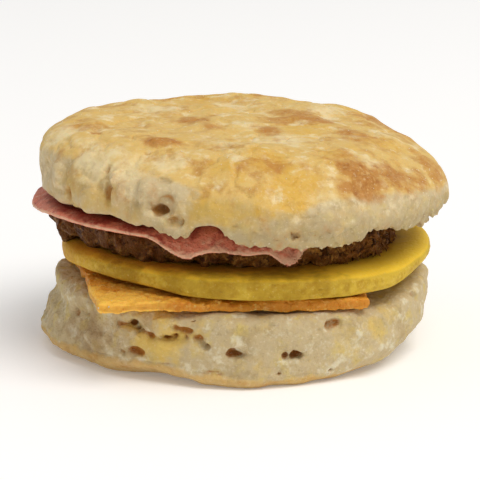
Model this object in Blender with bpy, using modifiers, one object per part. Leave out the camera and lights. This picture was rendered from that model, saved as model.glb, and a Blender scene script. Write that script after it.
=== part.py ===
"""Breakfast sandwich: ham, a sausage patty, an egg patty and a cheese slice in a split buttermilk biscuit.

Sizes are in millimetres and are turned to metres as each mesh is made. The sandwich stands on z = 0,
its front faces -Y, and azimuths are counted in degrees from +X, so -90 is the front.
"""

import math

import bmesh
import bpy
from mathutils import Euler, Vector, noise
from mathutils.bvhtree import BVHTree

MM = 0.001

# Driving sizes, in millimetres
GAP = 0.3  # clearance left between neighbouring pieces
BOTTOM_RADIUS, BOTTOM_HEIGHT = 45.6, 17.0
CHEESE_THICKNESS = 2.8
EGG_RADIUS, EGG_THICKNESS = 45.0, 5.2
SAUSAGE_RADIUS, SAUSAGE_THICKNESS = 39.8, 7.1
HAM_RADIUS, HAM_THICKNESS = 40.0, 2.0
LID_RADIUS, LID_THICKNESS = 49.4, 17.0

# Slopes of the stack, as rise for each millimetre towards +X: it is lower on the right
BASE_SLOPE = -0.030
SAUSAGE_SLOPE = -0.045
LID_TOP_SLOPE = -0.040

# Middles of the pieces that lie off the axis
EGG_MIDDLE = Vector((0.8, 0.0))
SAUSAGE_MIDDLE = Vector((-4.0, 5.0))
HAM_MIDDLE = Vector((-10.0, -3.0))

# Where the ham puffs up into the tear in the lid
HAM_PUFF, HAM_PUFF_MIDDLE = 1.8, Vector((-7.5, -39.5))

# Corners of the cheese slice, a square that has slumped out of true: front left, front right, back right
# and back left
CHEESE_CORNERS = (Vector((-32.5, -44.5)), Vector((29.0, -36.5)), Vector((26.0, 24.0)), Vector((-43.8, 8.5)))
CHEESE_BOW = 2.4  # how far the front edge has run forward in its middle

# Levels where the pieces meet on the axis
CHEESE_LEVEL = BOTTOM_HEIGHT + GAP
EGG_LEVEL = CHEESE_LEVEL + CHEESE_THICKNESS + GAP
SAUSAGE_LEVEL = EGG_LEVEL + EGG_THICKNESS + GAP
HAM_LEVEL = SAUSAGE_LEVEL + SAUSAGE_THICKNESS + GAP
LID_LEVEL = HAM_LEVEL + HAM_THICKNESS + GAP

# Tears up into the rim of the lid: azimuth, half the width in degrees, and rise
LID_TEARS = ((-100, 8.0, 5.2), (-52, 4.0, 1.8), (75, 7.0, 2.4), (150, 5.0, 1.5))

SKIN_GRAIN = 0.6  # grain of the skin laid over a biscuit half and its burst bubbles

# Triangles kept in each piece
BUDGETS = {
    "biscuit_bottom": 3800,
    "cheese_slice": 700,
    "egg_patty": 1000,
    "sausage_patty": 2000,
    "ham_slice": 1300,
    "biscuit_top": 4500,
}


def smooth_step(low, high, value):
    """0 below low, 1 above high, and an S-curve between them."""
    share = min(1.0, max(0.0, (value - low) / (high - low)))
    return share * share * (3 - 2 * share)


def mix(first, second, share):
    return first + (second - first) * share


def facing(azimuth, centre, width):
    """1 at an azimuth of centre, falling to 0 at width degrees from it on either side."""
    apart = abs((azimuth - centre + 180) % 360 - 180)
    return 1 - smooth_step(0, width, apart)


def between(azimuth, start, end, fade):
    """1 from start round to end, falling to 0 over fade degrees outside them."""
    half = (end - start) / 2
    apart = abs((azimuth - start - half + 180) % 360 - 180)
    return 1 - smooth_step(half, half + fade, apart)


def ripple(point, wavelength, seed=0.0):
    """Smooth bumps from about -1 to 1, the given number of millimetres apart."""
    return 1.6 * noise.noise(Vector(point) / wavelength + Vector((seed, 2.3 * seed, -seed)))


def ring_ripple(azimuth, wavelength, radius, seed=0.0):
    """The same bumps along a circle, closed on itself."""
    turn = math.radians(azimuth)
    return ripple((radius * math.cos(turn), radius * math.sin(turn), 0.0), wavelength, seed)


def azimuth_of(x, y):
    return math.degrees(math.atan2(y, x))


def collection(name):
    made = bpy.data.collections.new(name)
    bpy.context.scene.collection.children.link(made)
    return made


def clear_scene():
    for leftover in list(bpy.data.objects):
        bpy.data.objects.remove(leftover)


def finish_material(name, colour, roughness):
    """A Principled material: cooked food has no metallic part, only its colour and roughness."""
    material = bpy.data.materials.new(name)
    material.use_nodes = True
    shader = material.node_tree.nodes["Principled BSDF"]
    shader.inputs["Base Color"].default_value = (*colour, 1.0)
    shader.inputs["Roughness"].default_value = roughness
    shader.inputs["Metallic"].default_value = 0.0
    return material


def new_piece(name, form, material, home):
    """An object from a bmesh in millimetres, shaded smooth except at sharp edges."""
    bmesh.ops.scale(form, vec=(MM, MM, MM), verts=form.verts)
    mesh = bpy.data.meshes.new(name)
    form.to_mesh(mesh)
    form.free()
    mesh.materials.append(material)
    mesh.shade_smooth()
    mesh.set_sharp_from_angle(angle=math.radians(50))
    piece = bpy.data.objects.new(name, mesh)
    home.objects.link(piece)
    return piece


def push_along_normals(form, rule):
    """Moves every vertex along its normal by rule(point, normal), in millimetres."""
    form.normal_update()
    steps = [(vert, vert.normal * rule(vert.co, vert.normal)) for vert in form.verts]
    for vert, step in steps:
        vert.co += step


def share_down(direction):
    """How far down a unit sphere a point lies: 0 at the top pole, 1 at the bottom one."""
    return math.acos(max(-1.0, min(1.0, direction.z))) / math.pi


class Puck:
    """A thick disc with rounded rims, the form of both biscuit halves and of both patties.

    radius, top_edge and bottom_edge are functions of the azimuth. An edge is how far its rounding runs
    inwards and how far it falls. top and bottom are heights as functions of x and y. shares says how the
    way down a sphere is dealt out to the top face, its edge, the side, the lower edge and the lower face.
    """

    def __init__(self, middle, radius, top, bottom, top_edge, bottom_edge, shares):
        self.middle, self.radius = middle, radius
        self.top, self.bottom = top, bottom
        self.top_edge, self.bottom_edge = top_edge, bottom_edge
        self.shares = shares

    def place(self, direction):
        """The point of the disc that stands for a point of the unit sphere."""
        azimuth = azimuth_of(direction.x, direction.y)
        radius = self.radius(azimuth)
        down = share_down(direction)
        face, edge, side, low_edge, low_face = self.shares
        top_run, top_fall = self.top_edge(azimuth)
        low_run, low_rise = self.bottom_edge(azimuth)
        top_turn = math.pi / 2 * min(1.0, max(0.0, (down - face) / edge))
        low_turn = math.pi / 2 * min(1.0, max(0.0, (1 - down - low_face) / low_edge))
        if down < face:
            reach = (radius - top_run) * down / face
        elif down > 1 - low_face:
            reach = (radius - low_run) * (1 - down) / low_face
        elif down < face + edge:
            reach = radius - top_run * (1 - math.sin(top_turn))
        elif down > 1 - low_face - low_edge:
            reach = radius - low_run * (1 - math.sin(low_turn))
        else:
            reach = radius
        x = self.middle.x + reach * math.cos(math.radians(azimuth))
        y = self.middle.y + reach * math.sin(math.radians(azimuth))
        upper = self.top(x, y) - top_fall * (1 - math.cos(top_turn))
        lower = self.bottom(x, y) + low_rise * (1 - math.cos(low_turn))
        on_side = min(1.0, max(0.0, (down - face - edge) / side))
        return Vector((x, y, mix(upper, lower, on_side)))

    def form(self, around=180, down=96):
        form = bmesh.new()
        bmesh.ops.create_uvsphere(form, u_segments=around, v_segments=down, radius=1.0)
        for vert in form.verts:
            vert.co = self.place(vert.co.normalized())
        return form


def pit_form(width, depth, height, seed):
    """An uneven bubble, its width along X, its depth along Y and its height along Z."""
    form = bmesh.new()
    bmesh.ops.create_icosphere(form, subdivisions=2, radius=1.0)
    for vert in form.verts:
        swell = 1 + 0.22 * ripple(vert.co, 0.9, seed)
        vert.co = Vector((vert.co.x * width / 2, vert.co.y * depth, vert.co.z * height / 2)) * swell
    return form


def cut_pits(piece, side_pits, top_pits, cutters):
    """Opens burst bubbles in a piece.

    A side pit is (azimuth, height, width, tall, depth) and a top pit (x, y, width, long, depth, turn).
    """
    mesh = piece.data
    tree = BVHTree.FromPolygons([v.co / MM for v in mesh.vertices], [p.vertices for p in mesh.polygons])
    joined = bmesh.new()
    placed = []
    for azimuth, height, width, tall, depth in side_pits:
        turn = math.radians(azimuth)
        outwards = Vector((math.cos(turn), math.sin(turn), 0.0))
        start = outwards * 2 * LID_RADIUS + Vector((0.0, 0.0, height))
        found = tree.ray_cast(start, -outwards)[0]
        placed.append((found, (0.0, 0.0, turn + math.pi / 2), (width, depth, tall)))
    for x, y, width, long, depth, turn in top_pits:
        found = tree.ray_cast(Vector((x, y, 4 * LID_THICKNESS)), Vector((0.0, 0.0, -1.0)))[0]
        placed.append((found, (0.0, 0.0, math.radians(turn)), (width, long / 2, 2 * depth)))
    for number, (spot, turns, size) in enumerate(placed):
        pit = pit_form(*size, seed=number)
        bmesh.ops.rotate(pit, matrix=Euler(turns).to_matrix(), verts=pit.verts)
        bmesh.ops.translate(pit, vec=spot, verts=pit.verts)
        scratch = bpy.data.meshes.new("pit")
        pit.to_mesh(scratch)
        pit.free()
        joined.from_mesh(scratch)
        bpy.data.meshes.remove(scratch)
    cutter = new_piece(piece.name + "_pits", joined, mesh.materials[0], cutters)
    cutter.hide_render = True
    cutter.display_type = "WIRE"
    cut = piece.modifiers.new("burst bubbles", "BOOLEAN")
    cut.operation = "DIFFERENCE"
    cut.solver = "EXACT"
    cut.use_self = True
    cut.object = cutter
    skin = piece.modifiers.new("one skin", "REMESH")
    skin.mode = "VOXEL"
    skin.voxel_size = SKIN_GRAIN * MM


def thin_out(piece):
    """Keeps the piece's budget of triangles, most of them where its surface is uneven."""
    bpy.context.view_layer.update()
    evaluated = piece.evaluated_get(bpy.context.evaluated_depsgraph_get())
    mesh = evaluated.to_mesh()
    mesh.calc_loop_triangles()
    triangles = len(mesh.loop_triangles)
    evaluated.to_mesh_clear()
    fewer = piece.modifiers.new("fewer triangles", "DECIMATE")
    fewer.ratio = min(1.0, BUDGETS[piece.name] / triangles)
    fewer.use_collapse_triangulate = True


# Bottom half of the biscuit


def bottom_radius(azimuth):
    uneven = 0.5 * ring_ripple(azimuth, 30, BOTTOM_RADIUS, 1.7)
    return BOTTOM_RADIUS - 0.9 * facing(azimuth, 0, 60) + uneven


def right_end(x):
    """0 over most of the sandwich, rising to 1 at the right end, where biscuit and egg turn up."""
    return smooth_step(32, 45, x)


def cut_face(x, y):
    """The level of the face that the biscuit was split along. It is the same all along y."""
    return BOTTOM_HEIGHT + BASE_SLOPE * x + 2.8 * right_end(x)


def bottom_underside(x, y):
    """The baked base is flat where it stands, and lifts a little in a fold at the front left."""
    azimuth, reach = azimuth_of(x, y), math.hypot(x, y)
    return 1.6 * facing(azimuth, -116, 16) * smooth_step(33, 44, reach)


def bottom_low_edge(azimuth):
    """The base rounds up steeply all along the right, and is nearly square elsewhere."""
    right, left = facing(azimuth, 0, 80), between(azimuth, 180, 235, 20)
    return mix(4.0, 19.0, right) + 4.0 * left, mix(3.2, 12.0, right) + 1.0 * left


def bottom_top_edge(azimuth):
    left = facing(azimuth, 180, 70)
    return mix(3.4, 1.6, left), mix(2.6, 1.2, left)


def bottom_relief(point, normal):
    """The torn side: lips and a waist on the left, and lumps all round, only inwards under the cheese."""
    azimuth, reach = azimuth_of(point.x, point.y), math.hypot(point.x, point.y)
    if reach < 36 or point.z < 0.05:
        return 0.0
    side = smooth_step(36, 43, reach)
    left = facing(azimuth, 185, 50)
    height = point.z + 0.8 * ring_ripple(azimuth, 20, BOTTOM_RADIUS, 3.7)
    lip = left * (2.6 * (1 - smooth_step(4.5, 7, height)) + 1.6 * smooth_step(3, 6, height))
    lip *= 1 - smooth_step(8.5, 12, height)
    waist = -1.2 * left * (smooth_step(9.5, 12.3, height) - smooth_step(12.9, 15.5, height))
    lumps = 0.55 * ripple(point, 11, 4.1) + 0.3 * ripple(point, 4.5, 8.2)
    shown = lip + waist + lumps
    if normal.z > 0.5:
        shown = min(0.0, lumps - 0.2)
    return side * shown


def make_biscuit_bottom(home, cutters):
    puck = Puck(
        middle=Vector((0.0, 0.0)),
        radius=bottom_radius,
        top=cut_face,
        bottom=bottom_underside,
        top_edge=bottom_top_edge,
        bottom_edge=bottom_low_edge,
        shares=(0.34, 0.06, 0.12, 0.13, 0.35),
    )
    form = puck.form()
    push_along_normals(form, bottom_relief)
    for vert in form.verts:
        vert.co.z = min(cut_face(vert.co.x, vert.co.y), max(0.0, vert.co.z))
    material = finish_material("baked_biscuit", (0.62, 0.50, 0.30), 0.8)
    piece = new_piece("biscuit_bottom", form, material, home)
    cut_pits(
        piece,
        side_pits=(
            (-123, 13.2, 5.0, 3.2, 3.0),
            (-110, 11.2, 8.4, 2.4, 2.4),
            (-102, 10.3, 4.0, 2.4, 2.2),
            (-124, 6.2, 6.0, 1.4, 2.4),
            (-91, 8.4, 4.8, 1.9, 3.0),
            (-74, 7.6, 6.0, 1.8, 2.6),
            (-64, 13.8, 3.0, 1.8, 2.6),
            (-80, 14.6, 3.4, 1.2, 1.6),
            (-89, 4.4, 2.0, 0.9, 1.6),
            (-144, 12.4, 3.8, 1.9, 2.6),
            (-24, 14.0, 2.8, 1.8, 1.4),
            (24, 9.0, 6.0, 2.0, 2.2),
            (58, 12.5, 4.5, 2.4, 2.4),
            (97, 7.0, 5.5, 1.8, 2.6),
            (128, 12.0, 7.0, 2.2, 2.4),
            (160, 6.5, 4.5, 1.8, 2.0),
        ),
        top_pits=(),
        cutters=cutters,
    )
    return piece


# Cheese slice


def cheese_level(x, y):
    """The slice lies on the cut face, and its corners sink where they stick out past the rim."""
    over = max(0.0, math.hypot(x, y) - BOTTOM_RADIUS)
    return CHEESE_LEVEL + BASE_SLOPE * x - 0.13 * over


def make_cheese_slice(home):
    front_left, front_right, back_right, back_left = CHEESE_CORNERS
    form = bmesh.new()
    bmesh.ops.create_grid(form, x_segments=44, y_segments=44, size=0.5)
    for vert in form.verts:
        across, back = vert.co.x + 0.5, vert.co.y + 0.5
        spot = mix(mix(front_left, front_right, across), mix(back_left, back_right, across), back)
        spot.y -= CHEESE_BOW * (1 - (2 * across - 1) ** 2) * (1 - back)
        spot *= 1 + 0.012 * ripple(spot.to_3d(), 9, 3.3)
        vert.co = Vector((spot.x, spot.y, cheese_level(spot.x, spot.y)))
    material = finish_material("processed_cheese", (0.80, 0.42, 0.07), 0.5)
    piece = new_piece("cheese_slice", form, material, home)
    body = piece.modifiers.new("slice thickness", "SOLIDIFY")
    body.thickness = CHEESE_THICKNESS * MM
    body.offset = 1.0
    return piece


# Egg patty


def egg_underside(x, y):
    azimuth, reach = azimuth_of(x, y), math.hypot(x, y)
    lifted = 1.1 * between(azimuth, -150, -120, 14) * smooth_step(36, 44, reach)
    return EGG_LEVEL + BASE_SLOPE * x + lifted + 3.0 * right_end(x)


def egg_top(x, y):
    return EGG_LEVEL + EGG_THICKNESS + BASE_SLOPE * x + 1.2 * right_end(x)


def egg_top_edge(azimuth):
    thin = facing(azimuth, 180, 60) + between(azimuth, -45, -15, 30)
    return mix(2.4, 4.5, thin), mix(1.4, 2.2, thin)


def make_egg_patty(home):
    puck = Puck(
        middle=EGG_MIDDLE,
        radius=lambda azimuth: EGG_RADIUS + 0.35 * ring_ripple(azimuth, 22, EGG_RADIUS, 5.1),
        top=egg_top,
        bottom=egg_underside,
        top_edge=egg_top_edge,
        bottom_edge=lambda azimuth: (1.4, 1.2),
        shares=(0.42, 0.05, 0.06, 0.05, 0.42),
    )
    form = puck.form(around=144, down=80)

    def relief(point, normal):
        side = 1 - abs(normal.z)
        return 0.3 * side * ripple(point, 6, 7.7)

    push_along_normals(form, relief)
    material = finish_material("cooked_egg", (0.68, 0.52, 0.06), 0.45)
    return new_piece("egg_patty", form, material, home)


# Sausage patty


def sausage_top(x, y):
    return SAUSAGE_LEVEL + SAUSAGE_THICKNESS + SAUSAGE_SLOPE * x


def sausage_underside(x, y):
    return SAUSAGE_LEVEL + BASE_SLOPE * x


def make_sausage_patty(home):
    def radius(azimuth):
        broad = 0.7 * ring_ripple(azimuth, 24, SAUSAGE_RADIUS, 9.4)
        broad += 2.4 * facing(azimuth, -42, 45) + 1.8 * facing(azimuth, 190, 30)
        return SAUSAGE_RADIUS + broad + 0.6 * ring_ripple(azimuth, 7, SAUSAGE_RADIUS, 2.6)

    puck = Puck(
        middle=SAUSAGE_MIDDLE,
        radius=radius,
        top=sausage_top,
        bottom=sausage_underside,
        top_edge=lambda azimuth: (2.6, 2.2),
        bottom_edge=lambda azimuth: (2.2, 1.6),
        shares=(0.36, 0.09, 0.10, 0.09, 0.36),
    )
    form = puck.form(around=176, down=88)

    def crags(point, normal):
        """Mince stands out in lumps at the rim, and lies below the flat faces."""
        reach = (point.to_2d() - SAUSAGE_MIDDLE).length
        rim = smooth_step(SAUSAGE_RADIUS - 7, SAUSAGE_RADIUS - 2, reach)
        lumps = 1.1 * abs(ripple(point, 5.2, 6.6)) + 0.5 * ripple(point, 2.6, 1.2) - 0.6
        return rim * (lumps if abs(normal.z) < 0.6 else min(0.0, lumps - 0.3))

    push_along_normals(form, crags)
    for vert in form.verts:
        x, y = vert.co.x, vert.co.y
        vert.co.z = min(sausage_top(x, y), max(sausage_underside(x, y), vert.co.z))
    material = finish_material("fried_sausage", (0.13, 0.06, 0.025), 0.5)
    return new_piece("sausage_patty", form, material, home)


# Ham slice


def ham_outline(azimuth):
    """The slice's radius: an uneven round, with a torn tag at the front."""
    tag = 1.6 * facing(azimuth, -60, 8)
    worn = 0.7 * ring_ripple(azimuth, 16, HAM_RADIUS, 3.9)
    nibbled = 0.35 * ring_ripple(azimuth, 5, HAM_RADIUS, 8.8)
    return HAM_RADIUS + tag + worn + nibbled


def ham_level(x, y):
    """The ham lies on the patty. Past its rim the slice hangs at the front and stays level at the left."""
    azimuth = azimuth_of(x, y)
    over = max(0.0, (Vector((x, y)) - SAUSAGE_MIDDLE).length - (SAUSAGE_RADIUS + 0.6))
    hang = 4.9 * between(azimuth, -104, -80, 15) + 5.6 * between(azimuth, -72, -60, 12)
    hang += 2.5 * between(azimuth, -45, 120, 20) + 1.2 * between(azimuth, 170, 195, 15)
    waves = 0.6 * ring_ripple(azimuth, 12, HAM_RADIUS, 6.1)
    puff = HAM_PUFF * math.exp(-((x - HAM_PUFF_MIDDLE.x) ** 2 + (y - HAM_PUFF_MIDDLE.y) ** 2) / 20)
    return sausage_top(x, y) + GAP - (hang + waves * min(1.0, hang)) * (over / 8) ** 1.3 + puff


def make_ham_slice(home):
    form = bmesh.new()
    bmesh.ops.create_uvsphere(form, u_segments=144, v_segments=72, radius=1.0)
    rim = 0.06  # share of the way down the sphere that makes the slice's rounded rim
    face = (1 - rim) / 2
    for vert in form.verts:
        azimuth = azimuth_of(vert.co.x, vert.co.y)
        down = share_down(vert.co)
        reach = ham_outline(azimuth)
        if down < face:
            across, up = down / face, 1.0
        elif down > 1 - face:
            across, up = (1 - down) / face, 0.0
        else:
            across, up = 1.0, (1 - face - down) / rim
        reach = across * reach + 0.5 * math.sin(math.pi * up)
        x = HAM_MIDDLE.x + reach * math.cos(math.radians(azimuth))
        y = HAM_MIDDLE.y + reach * math.sin(math.radians(azimuth))
        thickness = HAM_THICKNESS * (1 - 0.35 * smooth_step(0.93, 1.0, across))
        vert.co = Vector((x, y, ham_level(x, y) + up * thickness))
    material = finish_material("cured_ham", (0.62, 0.26, 0.20), 0.45)
    return new_piece("ham_slice", form, material, home)


# Top half of the biscuit


def lid_radius(azimuth):
    back = 1.2 * facing(azimuth, 90, 70) + 0.9 * facing(azimuth, 0, 60)
    front = 0.6 * facing(azimuth, -90, 40)
    return LID_RADIUS - back - front + 0.5 * ring_ripple(azimuth, 26, LID_RADIUS, 4.7)


def lid_top(x, y):
    swell = 2.1 * math.exp(-((x - 8) ** 2 + (y - 22) ** 2) / 28**2)
    fall = 1.2 * smooth_step(22, 44, x)
    return LID_LEVEL + LID_THICKNESS + LID_TOP_SLOPE * x + swell - fall


def lid_under_plane(x):
    return LID_LEVEL + SAUSAGE_SLOPE * x


def lid_underside(x, y):
    """The split face is flat over the filling. Its torn rim sinks over the front and the right."""
    azimuth, reach = azimuth_of(x, y), math.hypot(x, y)
    sunk = 3.4 * between(azimuth, -103, -62, 13) + 2.3 * between(azimuth, -34, 60, 16)
    torn = 0.8 * abs(ring_ripple(azimuth, 9, LID_RADIUS, 2.2))
    torn += 0.4 * abs(ring_ripple(azimuth, 4, LID_RADIUS, 7.9))
    level = lid_under_plane(x) + (torn - sunk) * smooth_step(39, 46, reach)
    for centre, width, rise in LID_TEARS:
        level += rise * facing(azimuth, centre, width) * smooth_step(33, 41, reach)
    return level


def lid_top_edge(azimuth):
    left = facing(azimuth, 180, 100)
    return mix(22.0, 12.0, left), mix(12.2, 8.0, left)


def lid_low_edge(azimuth):
    left = facing(azimuth, 180, 50)
    return mix(1.4, 2.6, left), mix(0.8, 1.8, left)


def lid_relief(point, normal):
    """Blisters on the crust, and below it a side of torn crumb, set back under the crust on the right."""
    azimuth, reach = azimuth_of(point.x, point.y), math.hypot(point.x, point.y)
    if normal.z > 0.25:
        return 0.55 * ripple(point, 17, 1.1) + 0.3 * ripple(point, 8, 5.5)
    if reach < 42:
        return 0.0
    side = smooth_step(42, 46, reach)
    above_rim = point.z - lid_under_plane(point.x) + 3
    under_crust = 0.4 + 0.8 * facing(azimuth, -90, 60) + 2.0 * facing(azimuth, 5, 60)
    under_crust *= 1 - smooth_step(3.4, 5.6, above_rim)
    lumps = 0.5 * ripple(point, 10, 3.1) + 0.35 * ripple(point, 4, 9.7)
    return side * (lumps - under_crust)


def make_biscuit_top(home, cutters):
    puck = Puck(
        middle=Vector((0.3, 0.0)),
        radius=lid_radius,
        top=lid_top,
        bottom=lid_underside,
        top_edge=lid_top_edge,
        bottom_edge=lid_low_edge,
        shares=(0.24, 0.20, 0.09, 0.07, 0.40),
    )
    form = puck.form(around=190, down=110)
    push_along_normals(form, lid_relief)
    material = finish_material("baked_biscuit_lid", (0.66, 0.44, 0.18), 0.7)
    piece = new_piece("biscuit_top", form, material, home)
    cut_pits(
        piece,
        side_pits=(
            (-112, 42.0, 4.0, 3.4, 3.4),
            (-107, 39.0, 2.6, 1.2, 1.8),
            (-93, 38.6, 2.0, 1.4, 1.6),
            (-88, 39.9, 2.2, 1.4, 1.6),
            (-76, 35.9, 4.6, 1.3, 1.6),
            (-52, 38.1, 1.6, 1.4, 1.4),
            (-20, 36.0, 2.6, 1.2, 1.6),
            (38, 35.2, 5.0, 1.8, 2.0),
            (84, 37.0, 6.0, 2.0, 2.4),
            (131, 39.5, 4.5, 2.2, 2.2),
            (165, 41.5, 3.6, 2.0, 1.8),
        ),
        top_pits=(
            (-34.2, -15.7, 1.8, 2.6, 1.3, 20),
            (-22.0, -35.4, 4.2, 1.2, 1.0, -20),
            (-5.0, -43.0, 1.5, 1.8, 1.0, 0),
            (16.0, -43.5, 5.5, 1.6, 0.9, 8),
            (21.5, -42.0, 1.6, 1.6, 0.9, 0),
            (33.7, -13.1, 1.4, 2.0, 0.9, 0),
            (12.0, 30.0, 2.4, 1.6, 0.9, 30),
            (-24.0, 33.0, 3.4, 1.6, 1.0, 25),
        ),
        cutters=cutters,
    )
    return piece


def stand_on_origin(pieces):
    """Moves the sandwich so that the origin is the middle of its base."""
    bpy.context.view_layer.update()
    graph = bpy.context.evaluated_depsgraph_get()
    corners = [Vector(c) for piece in pieces for c in piece.evaluated_get(graph).bound_box]
    lows = [min(corner[axis] for corner in corners) for axis in range(3)]
    highs = [max(corner[axis] for corner in corners) for axis in range(3)]
    shift = Vector(((lows[0] + highs[0]) / 2, (lows[1] + highs[1]) / 2, lows[2]))
    for thing in bpy.data.objects:
        thing.location -= shift
    print("moved by", [round(-part / MM, 2) for part in shift], "mm")


def main():
    clear_scene()
    sandwich = collection("breakfast_sandwich")
    cutters = collection("cutters")
    pieces = [
        make_biscuit_bottom(sandwich, cutters),
        make_cheese_slice(sandwich),
        make_egg_patty(sandwich),
        make_sausage_patty(sandwich),
        make_ham_slice(sandwich),
        make_biscuit_top(sandwich, cutters),
    ]
    for piece in pieces:
        thin_out(piece)
    stand_on_origin(pieces)


main()
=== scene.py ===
# %% [markdown]
# # A breakfast biscuit sandwich
# A baked biscuit is split in two and filled, from below, with a slice of processed cheese, a round
# egg patty, a fried sausage patty and a slice of ham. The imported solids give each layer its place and
# its main form. This lesson gives each layer the surface that the eye expects of that food: crust,
# torn crumb, minced meat, cured ham, set egg and soft cheese.

# %% The packed sandwich and the units
import math
import random

import bmesh
import bpy
import numpy as np
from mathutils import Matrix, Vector, noise
from mathutils.bvhtree import BVHTree


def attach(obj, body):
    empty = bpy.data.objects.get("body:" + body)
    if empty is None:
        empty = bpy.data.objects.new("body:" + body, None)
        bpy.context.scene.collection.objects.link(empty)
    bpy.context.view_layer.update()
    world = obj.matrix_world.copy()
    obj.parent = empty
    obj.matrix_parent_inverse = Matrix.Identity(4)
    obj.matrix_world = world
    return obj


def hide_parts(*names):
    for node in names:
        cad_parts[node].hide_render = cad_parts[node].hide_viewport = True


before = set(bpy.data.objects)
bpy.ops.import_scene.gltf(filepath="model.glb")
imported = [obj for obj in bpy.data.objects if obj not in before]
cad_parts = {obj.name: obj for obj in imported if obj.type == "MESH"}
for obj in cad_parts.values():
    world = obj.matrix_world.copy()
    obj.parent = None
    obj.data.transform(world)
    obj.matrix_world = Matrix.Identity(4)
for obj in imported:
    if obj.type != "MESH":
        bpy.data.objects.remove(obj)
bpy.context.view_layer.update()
MM = 0.001
print("layers:", ", ".join(sorted(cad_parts)))

# %% [markdown]
# ## Colours and nodes
# Food colours are read as sRGB hex values, but light is added up in linear values, so one
# function turns one into the other. The linear numbers could be typed in directly, but a hex value is
# what a colour picker shows. Another function adds a node with its settings and links, for shaders and
# for geometry alike, so that a tree of nodes reads from top to bottom like a recipe.

# %% Three small helpers


def linear(colour):
    """The linear RGBA of an sRGB hex colour."""
    parts = [int(colour[start:start + 2], 16) / 255 for start in (1, 3, 5)]
    bent = [part / 12.92 if part <= 0.04045 else ((part + 0.055) / 1.055) ** 2.4 for part in parts]
    return (*bent, 1.0)


def add(tree, kind, inputs=None, **settings):
    """Adds a node with its settings. An input is a value, or another node's output to link."""
    made = tree.nodes.new(kind)
    for name, value in settings.items():
        setattr(made, name, value)
    for socket, value in (inputs or {}).items():
        if isinstance(value, bpy.types.NodeSocket):
            tree.links.new(value, made.inputs[socket])
        else:
            made.inputs[socket].default_value = value
    return made


def maths(tree, operation, *values):
    """The result of a Math node. Each value is a number or another node's output."""
    return add(tree, "ShaderNodeMath", dict(enumerate(values)), operation=operation).outputs[0]


print("sRGB #808080 is", round(linear("#808080")[0], 3), "in linear light")

# %% [markdown]
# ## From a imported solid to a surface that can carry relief
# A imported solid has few, large triangles, which suits contact but looks plain. A shader could fake its
# relief, but then the outline would stay smooth, and the mesh alone would show nothing. So each solid
# is copied and gets real relief: subdivision rounds its triangles, a voxel remesh gives one closed
# skin with an even mesh, and smoothing takes the steps of the voxels away. The solid itself stays as
# it was packed.

# %% Fine copies of the solids
MERGE_DISTANCE = 0.001 * MM


def bake(piece):
    """Turns what a piece's modifiers make into its own plain mesh."""
    graph = bpy.context.evaluated_depsgraph_get()
    made = bpy.data.meshes.new_from_object(
        piece.evaluated_get(graph), preserve_all_data_layers=True, depsgraph=graph
    )
    old = piece.data
    piece.modifiers.clear()
    piece.data = made
    bpy.data.meshes.remove(old)


def even_skin(piece, voxel, rounding):
    """Gives a piece one closed skin with a mesh of about voxel mm, smoothed rounding times."""
    skin = piece.modifiers.new("one even skin", "REMESH")
    skin.mode = "VOXEL"
    skin.voxel_size = voxel * MM
    if rounding:
        soft = piece.modifiers.new("soft", "SMOOTH")
        soft.factor = 0.5
        soft.iterations = rounding
    bake(piece)
    print(piece.name, len(piece.data.polygons), "faces")


def fine_copy(node, voxel, rounding):
    """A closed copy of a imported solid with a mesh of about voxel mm, smoothed rounding times."""
    form = bmesh.new()
    form.from_mesh(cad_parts[node].data)
    bmesh.ops.remove_doubles(form, verts=form.verts, dist=MERGE_DISTANCE)
    mesh = bpy.data.meshes.new(node)
    form.to_mesh(mesh)
    form.free()
    piece = bpy.data.objects.new(node + "_food", mesh)
    bpy.context.scene.collection.objects.link(piece)
    rounded = piece.modifiers.new("rounded facets", "SUBSURF")
    rounded.levels = rounded.render_levels = 1
    even_skin(piece, voxel, rounding)
    return piece


# %% [markdown]
# ## Numbers on the skin
# A skin of a hundred thousand vertices is too much to handle one by one, so its places and normals are
# taken out as rows of numbers, worked on together and put back. What is worked out for each vertex,
# such as how far it is browned, is stored on the mesh under a name that trees and materials can read.
# Weight painting could do that by hand, but a rule stays true when the mesh changes.

# %% Rows of numbers out of a mesh and back into it


def places_of(piece):
    """The vertices of a piece in mm, as rows."""
    flat = np.zeros(len(piece.data.vertices) * 3)
    piece.data.vertices.foreach_get("co", flat)
    return flat.reshape(-1, 3) / MM


def normals_of(piece):
    """The vertex normals of a piece, as rows."""
    flat = np.zeros(len(piece.data.vertices) * 3)
    piece.data.vertex_normals.foreach_get("vector", flat)
    return flat.reshape(-1, 3)


def store(piece, name, values):
    """Keeps one number on each vertex under a name that trees and materials can read."""
    kept = piece.data.attributes.get(name) or piece.data.attributes.new(name, "FLOAT", "POINT")
    kept.data.foreach_set("value", np.asarray(values, np.float32))


def values_of(piece, name):
    """The numbers that a piece keeps on its vertices under this name, or zeros."""
    flat = np.zeros(len(piece.data.vertices), np.float32)
    if name in piece.data.attributes:
        piece.data.attributes[name].data.foreach_get("value", flat)
    return flat


def move(piece, places):
    """Puts the vertices of a piece at these places in mm."""
    piece.data.vertices.foreach_set("co", (places * MM).ravel())
    piece.data.update()


# %% Soft steps, smooth random numbers and named spots
SPOT_CORE, SPOT_END = 0.1, 1.25


def smooth_step(low, high, values):
    """0 below low, 1 above high, and a soft curve between them."""
    share = np.clip((np.asarray(values) - low) / (high - low), 0, 1)
    return share * share * (3 - 2 * share)


def wobble(places, size, seed):
    """Smooth random numbers from about -1 to 1 that change over size mm."""
    shift = Vector((seed, 2 * seed, 3 * seed))
    return np.array([noise.noise(Vector(place) / size + shift) for place in places])


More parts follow.
